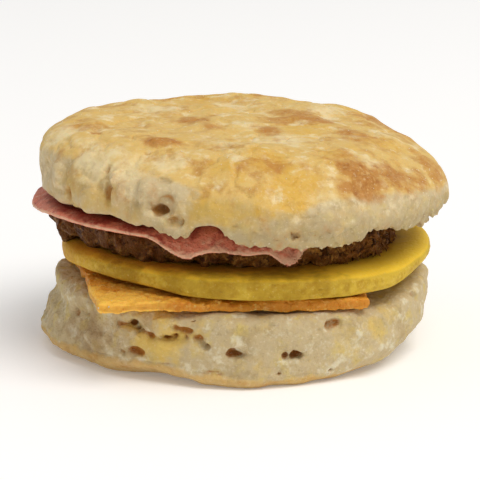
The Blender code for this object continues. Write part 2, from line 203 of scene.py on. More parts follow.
def spots(places, rows, ragged=0.5, size=5.0):
    """How far each place lies in any of the named spots: x, y, z, reach, all in mm, and strength."""
    share = np.zeros(len(places))
    edge = ragged * (wobble(places, size, 4.7) + 0.5 * wobble(places, size / 3, 8.1))
    for x, y, z, reach, strength in rows:
        away = np.linalg.norm(places - (x, y, z), axis=1) / reach + edge
        share = np.maximum(share, strength * (1 - smooth_step(SPOT_CORE, SPOT_END, away)))
    return share


def around(places, rows):
    """A level for each place from rows of azimuth and level. 0 is the right side, -90 the front."""
    azimuth = np.degrees(np.arctan2(places[:, 1], places[:, 0]))
    return np.interp(azimuth, [row[0] for row in rows], [row[1] for row in rows], period=360)


# %% [markdown]
# ## Hollows that the hand would find
# Bubbles that tore open as the dough rose are real hollows, deep enough to hold shade. A noise could
# make hollows anywhere, but these have known places, so each is pressed in from a table: its middle,
# its width and height on the surface, and its depth. The floor of a hollow rises towards its lower
# edge, because soft dough sagged over it from above. How far a point then lies below the old skin says
# where the finishes paint it darker, as painted shade in the hollow.

# %% Pressing hollows in
HOLLOW_CORE, HOLLOW_END = 0.45, 1.1
HOLLOW_REACH = 5
LOWER_FLOOR = 0.3
HOLLOW_SHADE_FROM, HOLLOW_SHADE_TO = 0.3, 1.7


def dent(piece, rows, voxel, rounding):
    """Presses hollows into a piece: middle x, y, z, then width, height and depth, all in mm. A depth
    below zero is a swelling. How far each vertex then lies below the old skin is kept as sunk."""
    before = BVHTree.FromObject(piece, bpy.context.evaluated_depsgraph_get())
    places, normals = places_of(piece), normals_of(piece)
    moved = places.copy()
    uneven = 0.8 * wobble(places, 2.4, 5.1) + 0.6 * wobble(places, 1.0, 2.3)
    for x, y, z, width, tall, depth in rows:
        near = places - (x, y, z)
        away = np.linalg.norm(near, axis=1)
        outwards = Vector(normals[away < max(2.0, away.min() + 0.5)].mean(axis=0)).normalized()
        sideways = Vector((-outwards.y, outwards.x, 0.0)).normalized()
        upwards = outwards.cross(sideways)
        high = near @ upwards / (tall / 2)
        reach = np.hypot(near @ sideways / (width / 2), high)
        reach += uneven * min(1.0, width / 5, 3.5 / tall)
        share = 1 - smooth_step(HOLLOW_CORE, HOLLOW_END, reach)
        share *= np.abs(near @ outwards) < HOLLOW_REACH
        if depth > 0:
            share *= LOWER_FLOOR + (1 - LOWER_FLOOR) * smooth_step(-1.0, 0.4, high)
        moved -= np.outer(share * depth, outwards)
    move(piece, moved)
    even_skin(piece, voxel, rounding)
    below = []
    for place in places_of(piece) * MM:
        skin, outwards, _, _ = before.find_nearest(Vector(place))
        below.append((skin - Vector(place)).dot(outwards) / MM)
    # sunk is how deep a vertex lies in a hollow; the finishes paint it darker there, as painted shade.
    store(piece, "sunk", smooth_step(HOLLOW_SHADE_FROM, HOLLOW_SHADE_TO, below))
    print(piece.name, "has", len(rows), "hollows and swellings")


# %% Finding what is sunk already


def mark_hollow_shade(piece, iterations, shallow, deep):
    """Adds to sunk how far each vertex lies below the smoothed surface, from shallow to deep mm."""
    places, normals = places_of(piece), normals_of(piece)
    ghost = bpy.data.objects.new("ghost", piece.data.copy())
    bpy.context.scene.collection.objects.link(ghost)
    soft = ghost.modifiers.new("soft", "SMOOTH")
    soft.factor = 0.5
    soft.iterations = iterations
    bake(ghost)
    below = np.einsum("ij,ij->i", places_of(ghost) - places, normals)
    bpy.data.objects.remove(ghost)
    # Sunk places are painted darker by the finishes, as painted shade in creases and hollows.
    store(piece, "sunk", np.maximum(values_of(piece, "sunk"), smooth_step(shallow, deep, below)))


# %% [markdown]
# ## Relief as a tree of nodes
# Crumb, crust, meat and cheese differ in the size and height of their lumps, grain, layers and
# bubbles, but the rule is the same, so one Geometry Nodes tree makes them all. Displace modifiers could
# do part of it, but they can't keep a bubble to torn places or leave most bubbles closed. Each kind of
# unevenness is a noise of a real size in mm that pushes the surface along its normal. Grain is
# stronger where the piece says it is rough, and layers and bubbles show only where it says it is torn.

# %% A tree with named sizes


def new_tree(name, sizes):
    """A Geometry Nodes tree with a named input for each size. Also gives its inputs and outputs."""
    tree = bpy.data.node_groups.new(name, "GeometryNodeTree")
    tree.interface.new_socket("Geometry", in_out="INPUT", socket_type="NodeSocketGeometry")
    for label, value in sizes.items():
        kind = {str: "NodeSocketString", float: "NodeSocketFloat", int: "NodeSocketInt"}[type(value)]
        socket = tree.interface.new_socket(label, in_out="INPUT", socket_type=kind)
        socket.default_value = value
    tree.interface.new_socket("Material", in_out="INPUT", socket_type="NodeSocketMaterial")
    tree.interface.new_socket("Geometry", in_out="OUTPUT", socket_type="NodeSocketGeometry")
    return tree, tree.nodes.new("NodeGroupInput").outputs, tree.nodes.new("NodeGroupOutput").inputs


def grow(piece, tree, material, **sizes):
    """Runs a tree on a piece with these sizes and this material, and bakes the result."""
    step = piece.modifiers.new(tree.name, "NODES")
    step.node_group = tree
    for socket in tree.interface.items_tree:
        key = socket.name.lower().replace(" ", "_")
        if socket.in_out == "INPUT" and key in sizes:
            step[socket.identifier] = sizes[key]
        if socket.in_out == "INPUT" and key == "material":
            step[socket.identifier] = material
    bake(piece)
    print(piece.name, "after", tree.name + ":", len(piece.data.polygons), "faces")


# %% Waves: lumps, grain and layers
# A noise strays about a quarter from its middle, so the spread brings it to about -1 to 1.
NOISE_MIDDLE = 0.5
NOISE_SPREAD = 4.0


def add_waves(tree, given, place, label, detail, shape):
    """The height in mm of a noise of this label's size and height, with its place drawn out."""
    drawn = add(tree, "ShaderNodeVectorMath", {0: place, 1: shape}, operation="MULTIPLY")
    scale = maths(tree, "DIVIDE", 1.0, given[label + " size"])
    pattern = add(tree, "ShaderNodeTexNoise", {
        "Vector": drawn.outputs[0], "W": given["Seed"], "Scale": scale, "Detail": detail,
    }, noise_dimensions="4D")
    centred = maths(tree, "SUBTRACT", pattern.outputs[0], NOISE_MIDDLE)
    spread = maths(tree, "MULTIPLY", centred, NOISE_SPREAD)
    return maths(tree, "MULTIPLY", spread, given[label + " height"])


# %% Creases: thin lines where a noise crosses its middle
CREASE_DETAIL = 2.5
CREASE_WIDTH = 0.035


def add_creases(tree, given, place):
    """How far a place lies in a thin fold of the surface, from 0 to 1."""
    scale = maths(tree, "DIVIDE", 1.0, given["Crease size"])
    folds = add(tree, "ShaderNodeTexNoise", {
        "Vector": place, "W": given["Seed"], "Scale": scale, "Detail": CREASE_DETAIL,
    }, noise_dimensions="4D")
    line = maths(tree, "ABSOLUTE", maths(tree, "SUBTRACT", folds.outputs[0], NOISE_MIDDLE))
    return add(tree, "ShaderNodeMapRange", {
        "Value": line, "From Min": 0.0, "From Max": CREASE_WIDTH, "To Min": 1.0, "To Max": 0.0,
    }, interpolation_type="SMOOTHSTEP").outputs[0]


# %% Bubbles: cells of a Voronoi pattern, of which only some are open
BUBBLE_SQUASH = (1, 1, 1.6)
SMALLEST_BUBBLE = 0.25
BUBBLE_PLAY = 0.45
BUBBLE_CORE = 0.35


def add_bubbles(tree, given, place):
    """How far a place lies in an open bubble, from 0 at its edge to 1 in its core."""
    squashed = add(tree, "ShaderNodeVectorMath", {0: place, 1: BUBBLE_SQUASH}, operation="MULTIPLY")
    scale = maths(tree, "DIVIDE", 1.0, given["Bubble spacing"])
    cells = add(tree, "ShaderNodeTexVoronoi", {
        "Vector": squashed.outputs[0], "W": given["Seed"], "Scale": scale,
    }, voronoi_dimensions="4D")
    luck = add(tree, "ShaderNodeSeparateXYZ", {0: cells.outputs["Color"]}).outputs
    reach = maths(tree, "DIVIDE", given["Bubble width"], given["Bubble spacing"])
    uneven = maths(tree, "MULTIPLY_ADD", luck["X"], BUBBLE_PLAY, SMALLEST_BUBBLE)
    reach = maths(tree, "MULTIPLY", reach, uneven)
    bubble = add(tree, "ShaderNodeMapRange", {
        "Value": cells.outputs["Distance"], "From Min": maths(tree, "MULTIPLY", reach, BUBBLE_CORE),
        "From Max": reach, "To Min": 1.0, "To Max": 0.0,
    }, interpolation_type="SMOOTHSTEP").outputs[0]
    return maths(tree, "MULTIPLY", bubble, maths(tree, "LESS_THAN", luck["Y"], given["Bubble share"]))


# %% The relief tree


def make_relief_tree():
    """Lumps, grain, layers, creases and bubbles, each with a size and a height in mm."""
    tree, given, result = new_tree("relief", {
        "Lump size": 8.0, "Lump height": 0.3, "Grain size": 1.5, "Grain height": 0.2,
        "Layer size": 5.0, "Layer height": 0.4, "Layer flatness": 3.0, "Crease size": 9.0,
        "Crease depth": 0.0, "Bubble spacing": 4.0, "Bubble width": 1.8,
        "Bubble depth": 0.8, "Bubble share": 0.4, "Seed": 1.0,
    })
    metres = add(tree, "GeometryNodeInputPosition").outputs[0]
    place = add(tree, "ShaderNodeVectorMath", {0: metres, "Scale": 1 / MM}, operation="SCALE").outputs[0]
    normal = add(tree, "GeometryNodeInputNormal").outputs[0]
    torn = add(tree, "GeometryNodeInputNamedAttribute", {"Name": "torn"}, data_type="FLOAT").outputs[0]
    rough = add(tree, "GeometryNodeInputNamedAttribute", {"Name": "rough"}, data_type="FLOAT").outputs[0]
    flatness = add(tree, "ShaderNodeCombineXYZ", {"X": 1.0, "Y": 1.0, "Z": given["Layer flatness"]})
    hollow = maths(tree, "MULTIPLY", add_bubbles(tree, given, place), torn)
    height = add_waves(tree, given, place, "Lump", 1.0, (1.0, 1.0, 1.0))
    for rise, share, step in (
        (add_waves(tree, given, place, "Grain", 3.0, (1.0, 1.0, 1.0)), rough, "ADD"),
        (add_waves(tree, given, place, "Layer", 3.0, flatness.outputs[0]), torn, "ADD"),
        (add_creases(tree, given, place), given["Crease depth"], "SUBTRACT"),
        (hollow, given["Bubble depth"], "SUBTRACT"),
    ):
        height = maths(tree, step, height, maths(tree, "MULTIPLY", rise, share))
    height = maths(tree, "MULTIPLY", height, MM)
    offset = add(tree, "ShaderNodeVectorMath", {0: normal, "Scale": height}, operation="SCALE")
    # The share of open bubble is kept as hollow, which the crumb finish paints darker as painted shade.
    marked = add(tree, "GeometryNodeStoreNamedAttribute", {
        "Geometry": given["Geometry"], "Name": "hollow", "Value": hollow,
    }, data_type="FLOAT", domain="POINT")
    moved = add(tree, "GeometryNodeSetPosition", {
        "Geometry": marked.outputs[0], "Offset": offset.outputs[0],
    })
    plain = add(tree, "GeometryNodeRealizeInstances", {0: moved.outputs[0]})
    painted = add(tree, "GeometryNodeSetMaterial", {
        "Geometry": plain.outputs[0], "Material": given["Material"],
    })
    tree.links.new(painted.outputs[0], result["Geometry"])
    return tree


RELIEF = make_relief_tree()
print("relief tree has", len(RELIEF.nodes), "nodes")

# %% [markdown]
# ## Crumbs, flakes and shreds
# Small loose bits lie thickly in some places and thinly in others. A particle system could throw them,
# but its copies are lost when the sandwich is exported. So a second tree spreads points over a
# surface, as thickly as a stored share says, puts one of a few small forms on each, turned and sized
# at random from a fixed seed, and makes them real mesh.

# %% The scatter tree


def make_scatter_tree():
    """Bits of a few forms on a surface. Sizes are in mm and density is bits per square mm."""
    tree, given, result = new_tree("scatter", {
        "Where": "", "Density": 0.1, "Smallest": 0.3, "Largest": 0.8, "Sunk": 0.1, "Seed": 1,
    })
    tree.interface.new_socket("Forms", in_out="INPUT", socket_type="NodeSocketCollection")
    forms_socket = tree.nodes["Group Input"].outputs["Forms"]
    share = add(tree, "GeometryNodeInputNamedAttribute", {"Name": given["Where"]}, data_type="FLOAT")
    density = maths(tree, "MULTIPLY", share.outputs[0], given["Density"])
    density = maths(tree, "MULTIPLY", density, 1 / MM ** 2)
    points = add(tree, "GeometryNodeDistributePointsOnFaces", {
        "Mesh": given["Geometry"], "Density": density, "Seed": given["Seed"],
    })
    inwards = add(tree, "ShaderNodeVectorMath", {
        0: points.outputs["Normal"], "Scale": maths(tree, "MULTIPLY", given["Sunk"], -MM),
    }, operation="SCALE")
    placed = add(tree, "GeometryNodeSetPosition", {
        "Geometry": points.outputs["Points"], "Offset": inwards.outputs[0],
    })
    forms = add(tree, "GeometryNodeCollectionInfo", {
        "Collection": forms_socket, "Separate Children": True, "Reset Children": True,
    })
    turn = add(tree, "FunctionNodeRandomValue", {
        "Min": (0.0, 0.0, 0.0), "Max": (math.tau, math.tau, math.tau), "Seed": given["Seed"],
    }, data_type="FLOAT_VECTOR")
    size = add(tree, "FunctionNodeRandomValue", {
        2: given["Smallest"], 3: given["Largest"], "Seed": given["Seed"],
    }, data_type="FLOAT")
    copies = add(tree, "GeometryNodeInstanceOnPoints", {
        "Points": placed.outputs[0], "Instance": forms.outputs[0], "Pick Instance": True,
        "Rotation": turn.outputs[0], "Scale": size.outputs[1],
    })
    plain = add(tree, "GeometryNodeRealizeInstances", {0: copies.outputs[0]})
    painted = add(tree, "GeometryNodeSetMaterial", {
        "Geometry": plain.outputs[0], "Material": given["Material"],
    })
    tree.links.new(painted.outputs[0], result["Geometry"])
    return tree


SCATTER = make_scatter_tree()
print("scatter tree has", len(SCATTER.nodes), "nodes")

# %% Small forms to scatter


def forms_of(name, count, build):
    """A collection, not shown, of count small meshes about 1 mm across that build(form, draw) makes."""
    kept = bpy.data.collections.new(name)
    for number in range(count):
        draw = random.Random(100 + number)
        form = bmesh.new()
        build(form, draw)
        mesh = bpy.data.meshes.new(f"{name}_{number}")
        form.to_mesh(mesh)
        form.free()
        for face in mesh.polygons:
            face.use_smooth = True
        kept.objects.link(bpy.data.objects.new(f"{name}_{number}", mesh))
    return kept


def build_crumb(form, draw):
    """A lump of a few dozen faces, pushed out of round."""
    bmesh.ops.create_icosphere(form, subdivisions=1, radius=0.5 * MM)
    stretch = Vector((draw.uniform(0.7, 1.3), draw.uniform(0.7, 1.3), draw.uniform(0.5, 0.9)))
    for vert in form.verts:
        vert.co = vert.co * draw.uniform(0.75, 1.25) * stretch


# %% A fibre of meat
SHRED_STEPS = 5
SHRED_SIDES = 4


def build_shred(form, draw):
    """A thin fibre 1 mm long that bends one way, tapered at both ends."""
    bend = draw.uniform(-1.2, 1.2)
    rings = []
    for step in range(SHRED_STEPS + 1):
        along = step / SHRED_STEPS
        middle = Vector((along - 0.5, bend * (along - 0.5) ** 2, draw.uniform(-0.04, 0.04)))
        radius = 0.09 * (0.35 + math.sin(math.pi * along))
        ring = []
        for side in range(SHRED_SIDES):
            angle = math.tau * side / SHRED_SIDES
            ring.append(form.verts.new(
                (middle + Vector((0, radius * math.cos(angle), radius * math.sin(angle)))) * MM
            ))
        rings.append(ring)
    for near, far in zip(rings, rings[1:]):
        for side in range(SHRED_SIDES):
            form.faces.new((near[side], near[side - 1], far[side - 1], far[side]))
    form.faces.new(rings[0])
    form.faces.new(rings[-1][::-1])
    bmesh.ops.recalc_face_normals(form, faces=form.faces)


CRUMBS = forms_of("crumb", 4, build_crumb)
SHREDS = forms_of("shred", 4, build_shred)

# %% Scattering one kind of bit


def scatter(surface, name, material, forms, **sizes):
    """A new piece of scattered bits on a surface, riding with the sandwich."""
    bits = bpy.data.objects.new(name, surface.data.copy())
    bpy.context.scene.collection.objects.link(bits)
    grow(bits, SCATTER, material, forms=forms, **sizes)
    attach(bits, "root")
    return bits


# %% [markdown]
# ## How a finish is put together
# Every finish here is a food, so none is metallic, and all bend light about as water does. A picture
# of food could be wrapped round each piece, but it would stretch and show its seams. Instead a finish
# starts from one ground colour, and coats of other colours lie over it where a stored share or a noise
# says so, with ragged edges. Fine bumps of a real size in mm catch the light. Light also enters all of
# these foods a little way, which softens their shadows.

# %% Coats of colour and fine bumps
COAT_DETAIL = 5.0
COAT_ROUGHNESS = 0.62
COAT_SHIFT = 3.7
BUMP_DETAIL = 2.0


def start_finish(name, ground, coats, bumps, **sockets):
    """A finish with a ground colour, coats (colour, where, grain in mm, rag, low, high, most) and
    bumps (size and height in mm). Other sockets of the shader are set by name."""
    finish = bpy.data.materials.new(name)
    finish.use_nodes = True
    tree = finish.node_tree
    tree.nodes.clear()
    shader = add(tree, "ShaderNodeBsdfPrincipled", {
        socket.replace("_", " "): value for socket, value in sockets.items()
    })
    add(tree, "ShaderNodeOutputMaterial", {"Surface": shader.outputs[0]})
    metres = add(tree, "ShaderNodeTexCoord").outputs["Object"]
    place = add(tree, "ShaderNodeMapping", {"Vector": metres, "Scale": (1 / MM, 1 / MM, 1 / MM)})
    colour = linear(ground)
    for number, (tone, where, size, rag, low, high, most) in enumerate(coats):
        pattern = add(tree, "ShaderNodeTexNoise", {
            "Vector": place.outputs[0], "W": COAT_SHIFT * number, "Scale": 1 / size,
            "Detail": COAT_DETAIL, "Roughness": COAT_ROUGHNESS,
        }, noise_dimensions="4D")
        middle = (0.0 if where else 0.5) - 0.5 * rag
        share = maths(tree, "MULTIPLY_ADD", pattern.outputs[0], rag, middle)
        if where:
            stored = add(tree, "ShaderNodeAttribute", attribute_name=where)
            share = maths(tree, "ADD", share, stored.outputs["Fac"])
        share = add(tree, "ShaderNodeMapRange", {
            "Value": share, "From Min": low, "From Max": high, "To Max": most,
        }, interpolation_type="SMOOTHSTEP").outputs[0]
        colour = add(tree, "ShaderNodeMix", {
            0: share, 6: colour, 7: linear(tone),
        }, data_type="RGBA").outputs[2]
    tree.links.new(colour, shader.inputs["Base Color"])
    normal = None
    for size, height in bumps:
        pattern = add(tree, "ShaderNodeTexNoise", {
            "Vector": place.outputs[0], "Scale": 1 / size, "Detail": BUMP_DETAIL,
        })
        inputs = {"Height": pattern.outputs[0], "Distance": height * MM}
        if normal:
            inputs["Normal"] = normal
        normal = add(tree, "ShaderNodeBump", inputs).outputs[0]
    tree.links.new(normal, shader.inputs["Normal"])
    print(name, "has", len(coats), "coats")
    return finish


# %% [markdown]
# ## Biscuit: crust and crumb
# A biscuit is a soft wheat dough, raised with baking powder and baked dry. Its top browns where it
# bulges towards the heat and keeps some flour where it doesn't. Its sides tear as it rises, and show
# pale, layered crumb with open bubbles. Melted butter leaves yellow stains. Crust and crumb could be
# one finish with a mask, but they differ in shine and grain as well as colour, so they are two, and
# the crust turns to crumb by coats where the lid's side is torn.

# %% The crust finish
# Wheat dough, dried and browned by hot air: a dull satin gold in soft patches, scorched on the bulges
# and floury between them. Its grain, 0.4 to 2.5 mm, is what breaks up the light on a baked crust.
CRUST = start_finish(
    "baked_wheat_crust", "#ccb78d",
    [
        ("#ac9260", None, 7.0, 2.2, 0.5, 0.85, 0.6),
        ("#d8bf70", "torn", 4.0, 2.4, 0.8, 1.6, 0.6),
        ("#ead8ae", None, 2.6, 2.4, 0.5, 0.9, 0.65),
        # Painted shade: the torn side of the lid is darker towards its lower edge.
        ("#a8946a", "moist", 4.0, 1.6, 0.1, 1.1, 0.6),
        ("#cfa94c", "buttered", 4.0, 1.6, 0.1, 1.1, 0.85),
        ("#deba6e", "baked", 3.5, 1.2, 0.2, 0.85, 1.0),
        ("#bb853c", "baked", 5.0, 3.4, 1.0, 1.7, 0.85),
        ("#dcae48", "golden", 4.0, 2.4, 0.0, 1.1, 0.85),
        ("#f0deb0", "baked", 4.0, 3.4, 1.05, 1.6, 0.75),
        ("#ecd8a6", "pale", 4.0, 2.2, 0.1, 1.1, 0.9),
        ("#ba7e36", "browned", 5.0, 2.6, 0.0, 0.9, 0.88),
        ("#98591a", "browned", 1.6, 3.0, 0.6, 1.6, 0.75),
        ("#e2be80", "browned", 0.9, 3.4, 0.9, 1.7, 0.6),
        # Painted shade: darker and browner in hollows and creases.
        ("#b0762c", "sunk", 1.2, 0.7, 0.1, 1.0, 0.8),
        ("#f4e6c4", None, 0.6, 2.6, 0.62, 1.2, 0.45),
        ("#9a7238", None, 0.9, 2.6, 0.64, 1.2, 0.35),
    ],
    [(2.5, 0.35), (0.9, 0.15), (0.4, 0.08)],
    Roughness=0.62, Specular_IOR_Level=0.35, IOR=1.45, Subsurface_Weight=0.2,
    Subsurface_Scale=1.2 * MM, Subsurface_Radius=(1.0, 0.6, 0.3),
)

# %% The crumb finish
# Wheat dough, set by heat and torn open: matt, because its broken walls throw light every way, cream
# coloured, and painted deeper and browner in its holes as shade. Real pores are about 0.2 mm and too
# fine for the render, so they are drawn as 0.35 to 0.9 mm grain.
CRUMB = start_finish(
    "baked_wheat_crumb", "#c8b48c",
    [
        ("#a98f60", None, 6.0, 2.4, 0.5, 0.9, 0.55),
        ("#d4bc6c", None, 4.0, 2.6, 0.5, 1.0, 0.75),
        ("#e4dcc0", None, 3.0, 2.6, 0.5, 0.95, 0.7),
        # Painted shade: darker crumb on the bottom half's left side, and a little on its right.
        ("#9c7c54", "dull", 4.0, 2.0, 0.2, 1.0, 0.6),
        ("#dab95e", "buttered", 3.5, 2.0, 0.1, 1.0, 0.85),
        ("#d0aa66", "baked", 2.5, 1.6, 0.4, 1.0, 0.75),
        ("#b0793a", "baked", 3.5, 2.6, 0.9, 1.5, 0.6),
        # Painted shade: darker and browner in hollows and creases.
        ("#b06c1e", "sunk", 1.2, 0.7, 0.1, 1.0, 0.85),
        # Painted shade inside the open bubbles.
        ("#94703a", "hollow", 1.5, 0.4, 0.2, 1.0, 0.6),
        ("#f2e8cf", None, 0.6, 2.6, 0.62, 1.2, 0.45),
        ("#8d6e3a", None, 0.9, 2.6, 0.62, 1.2, 0.4),
    ],
    [(2.0, 0.35), (0.8, 0.22), (0.35, 0.1)],
    Roughness=0.85, Specular_IOR_Level=0.2, IOR=1.4, Subsurface_Weight=0.25,
    Subsurface_Scale=1.2 * MM, Subsurface_Radius=(1.0, 0.7, 0.4),
)

# %% [markdown]
# ## The bottom half
# The lower half of the biscuit has a browned lip where it stood on the tray, a torn side above it, and
# slots left by bubbles that were drawn out as the dough rose. Its lip and its holes could be cut with
# other solids, but a cut edge looks machined. Here the skin itself is pushed and pulled, and every
# push has an uneven edge.

# %% The bottom half: lip, stains and patches of painted shade
# Levels of the lip are azimuth in degrees and height in mm. Stains and patches of painted shade are x, y,
# z, reach and strength.
BAND_LEVELS = (
    (-160, 4.5), (-135, 5), (-114, 5), (-102, 3.6), (-87, 2.9), (-72, 2.6), (-52, 2.2),
    (0, 2), (60, 3.2), (120, 3.6),
)
BOTTOM_BUTTER = (
    (-17, -42, 9.3, 6, 1), (-22, -39.5, 8.5, 4, 0.8), (-25, -36, 12, 3.5, 0.7),
    (-17, -42, 14.5, 6, 0.6), (-9, -44, 12.5, 6, 0.45), (2, -45, 15, 8, 0.3),
    (24, -38, 9, 4.5, 0.4), (31, -33, 11, 5, 0.6), (34, -30, 15, 5, 0.5),
    (4, -45, 4.5, 4, 0.4), (20, 40, 9, 9, 0.7), (-30, 34, 8, 7, 0.6),
    (44, 12, 8, 6, 0.5),
)
BOTTOM_SHADE_PATCHES = (
    (-34, -28, 9, 14, 0.75), (-40, 5, 9, 14, 0.5), (34, -30, 10, 9, 0.3),
)
print("the lip is", min(row[1] for row in BAND_LEVELS), "to", max(row[1] for row in BAND_LEVELS), "mm high")

# %% The bottom half: lumps and open bubbles
# Each is x, y, z, width, height and depth in mm. A lump's depth is below zero.
BOTTOM_LUMPS = (
    (-17.8, -42, 14.3, 7, 5.4, -1), (-25, -36, 15.4, 4.4, 3.2, -0.7),
    (-16, -42.5, 8.6, 9, 3.6, -0.7), (-38, -20, 15, 9, 5, -0.5),
    (4, -46, 12, 10, 5, -0.5), (26, -37, 12, 9, 7, -0.5),
    (-33, -30, 8, 9, 4, -0.9), (-42, -14, 8, 8, 4, -0.7),
    (-29, -34, 15.6, 5, 3, -0.6), (-36, -26, 12, 1.8, 8, 0.7),
    (30, -33, 6, 10, 4, -0.5),
)
BOTTOM_HOLES = (
    (-38.5, -22.2, 11.7, 6, 3.2, 1.6), (-24.5, -35.8, 12.9, 6.2, 3, 2.8),
    (-21.3, -40, 11.9, 5.5, 2.2, 2.4), (-17.5, -41.8, 11, 8, 2.4, 3),
    (-12.8, -43.7, 12.9, 5.5, 2.6, 2.8), (-9.6, -44, 11.2, 3, 2.2, 2.4),
    (-7.6, -44.4, 9.8, 2.4, 2.2, 2),
    (-0.7, -45.4, 8.1, 7, 2.8, 2.8), (-24.4, -38.2, 6.7, 9, 2.3, 2.6),
    (13.1, -43.4, 7.2, 8.2, 2.6, 2.8), (20.4, -39.4, 13.6, 5.2, 2.4, 2.2),
    (7.2, -44.8, 15, 4.2, 1.6, 1), (0.9, -45.8, 4, 2.2, 1.2, 1.4),
    (41.5, -18.4, 15, 3.4, 2.4, 1.6), (26.4, -37, 13.9, 2.2, 1, 1),
    (-6, -45, 14.6, 1.6, 1, 0.8), (40, 20, 9, 4.5, 2, 2.2),
    (20, 40.5, 12, 5, 2.2, 2.4), (-6, 45, 7, 4, 1.8, 2.2),
    (-28, 35, 11, 4.6, 2.2, 2.4), (-42, 15, 8, 4, 2, 2),
)

bottom = fine_copy("biscuit_bottom", 0.5, 4)
dent(bottom, BOTTOM_LUMPS + BOTTOM_HOLES, 0.48, 1)
mark_hollow_shade(bottom, 60, 0.1, 1.2)

# %% The bottom half: the lip and what is stored
places, normals = places_of(bottom), normals_of(bottom)
band = 1 - smooth_step(-0.9, 0.9, places[:, 2] - around(places, BAND_LEVELS) + 0.9 * wobble(places, 4, 2))
crease = band * (1 - band) * 4
lip = (0.55 + 0.7 * wobble(places, 5, 12)) * band - (0.35 + 0.4 * wobble(places, 7, 14)) * crease
lip *= smooth_step(-0.8, -0.2, normals[:, 2])
places += lip[:, None] * normals
move(bottom, places)
store(bottom, "baked", band)
store(bottom, "torn", 1 - band)
left_side = 1 - smooth_step(-34, -22, places[:, 0])
store(bottom, "rough", 1.0 - 0.5 * band + 0.9 * left_side)
store(bottom, "buttered", spots(places, BOTTOM_BUTTER))
# Painted shade: patches where the bottom half's crumb is painted darker, most on its left side.
store(bottom, "dull", spots(places, BOTTOM_SHADE_PATCHES))
print("the lip stands out by up to", round(float(lip.max()), 2), "mm")

# %% The bottom half: relief, and flat where it stands
grow(
    bottom, RELIEF, CRUMB, lump_size=8.0, lump_height=0.5, grain_size=1.5, grain_height=0.15,
    layer_size=5.0, layer_height=0.3, layer_flatness=1.5, bubble_spacing=3.6, bubble_width=1.8,
    bubble_depth=0.9, bubble_share=0.2, seed=2.0,
)
places = places_of(bottom)
places[:, 2] = np.maximum(places[:, 2], 0.0)
move(bottom, places)
mark_hollow_shade(bottom, 10, 0.06, 0.4)
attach(bottom, "root")
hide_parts("biscuit_bottom")

# %% [markdown]
# ## The lid
# The upper half is the part that the eye meets first. Its crust swells in blisters between scorched
# and floury patches, and gives way on the side to torn crumb with folds, one large open bubble and a
# ragged lower edge. One noise could scatter the patches, but each has a place that gives this biscuit
# its face, so they are named in tables, and noise only frays their edges.

# %% The lid: how far down the crust and its browning reach
# Each row is azimuth in degrees and height in mm.
CRUST_EDGE = (
    (-19, 38.8), (-42, 42), (-53, 42.5), (-62, 41.7), (-77, 39.8), (-87, 39.6), (-98, 41),
    (-112, 41), (-125, 37.5), (-150, 35), (180, 36.5), (150, 40), (110, 41), (70, 40), (30, 40),
)
BAKED_EDGE = (
    (-19, 39.5), (-42, 42.5), (-53, 43), (-62, 43.5), (-77, 41.5), (-87, 43.5), (-98, 44.8),
    (-112, 48), (-125, 49.5), (-150, 49.5), (180, 48), (150, 46), (110, 45), (70, 44.5), (30, 42),
)
print("the crust reaches down to", min(row[1] for row in CRUST_EDGE), "mm")

# %% The lid: browned, golden, buttered, pale and craggy patches
# Each row is x, y, z and reach in mm, and strength.
BROWNED = (
    (29, -35.5, 46.5, 9, 1), (25, -33, 49, 8, 0.85), (35, -29.5, 45.5, 8, 0.9),
    (40, -22, 45, 7, 0.7), (45.5, -9, 44.5, 7, 0.6), (46.5, -15, 40.5, 4, 0.55),
    (-19.5, -27, 53.4, 4, 0.95), (-15.5, -27.5, 53.3, 3.5, 0.8), (4.5, -38, 50.9, 5.5, 0.6),
    (-24.2, -5.7, 53.4, 5, 0.5), (-12, -1.5, 53.8, 6, 0.6), (-7, -10, 53.3, 4, 0.5),
    (8.6, 1, 53.1, 7, 0.65), (16.9, 3, 52.8, 7, 0.8), (26.4, -9.7, 51.8, 6.5, 0.75),
    (7.5, -11.6, 53.1, 5, 0.6), (11.2, 8.4, 53.8, 5, 0.5), (-17.6, 27, 54, 8, 0.6),
    (9, 30, 54, 9, 0.5), (-36, -12, 53.5, 7, 0.35), (-34.1, -17.4, 54.2, 1.6, 0.9),
    (36, 14, 50, 10, 0.6), (-10, 40, 52, 8, 0.7), (-38, 16, 53, 8, 0.5),
    (22, 36, 50, 8, 0.6), (20, -32, 50.4, 5, 0.5), (-7.5, -46, 46.3, 2.5, 0.4),
)
GOLDEN = (
    (11, -44, 46, 9, 1), (6, -36, 51, 9, 0.8), (-3, -41, 50, 8, 0.7),
    (15, -5, 53, 12, 0.7), (22, -30, 50, 10, 0.6), (-16, -26, 53.3, 8, 0.5),
    (34, -10, 50, 10, 0.6), (-10, 25, 54, 14, 0.7), (25, 25, 52, 12, 0.6),
    (-36, -5, 53, 8, 0.4), (-8, -47, 45.5, 5, 0.6),
)
BUTTERED = (
    (-6, -47, 42, 8, 1), (3, -48, 40, 6, 0.6), (-4, -46, 45, 6, 0.8),
    (-38, -28, 43, 8, 0.6), (-31, -36, 43.5, 8, 0.7), (-24, -41, 40.5, 6, 0.5),
    (-44, -18, 40, 6, 0.4),
    (-36, -32, 45, 6, 0.7), (-28, -39, 41.5, 4.5, 0.6), (0.5, -48.5, 42.7, 5, 0.9),
    (9, -48, 41.5, 4.5, 0.7), (12, -45.5, 44, 5, 0.8), (-14, -46, 42, 3.5, 0.5),
    (24, -42.5, 42, 4, 0.5), (40, 25, 41, 7, 0.6), (-20, 43, 42, 7, 0.6),
)
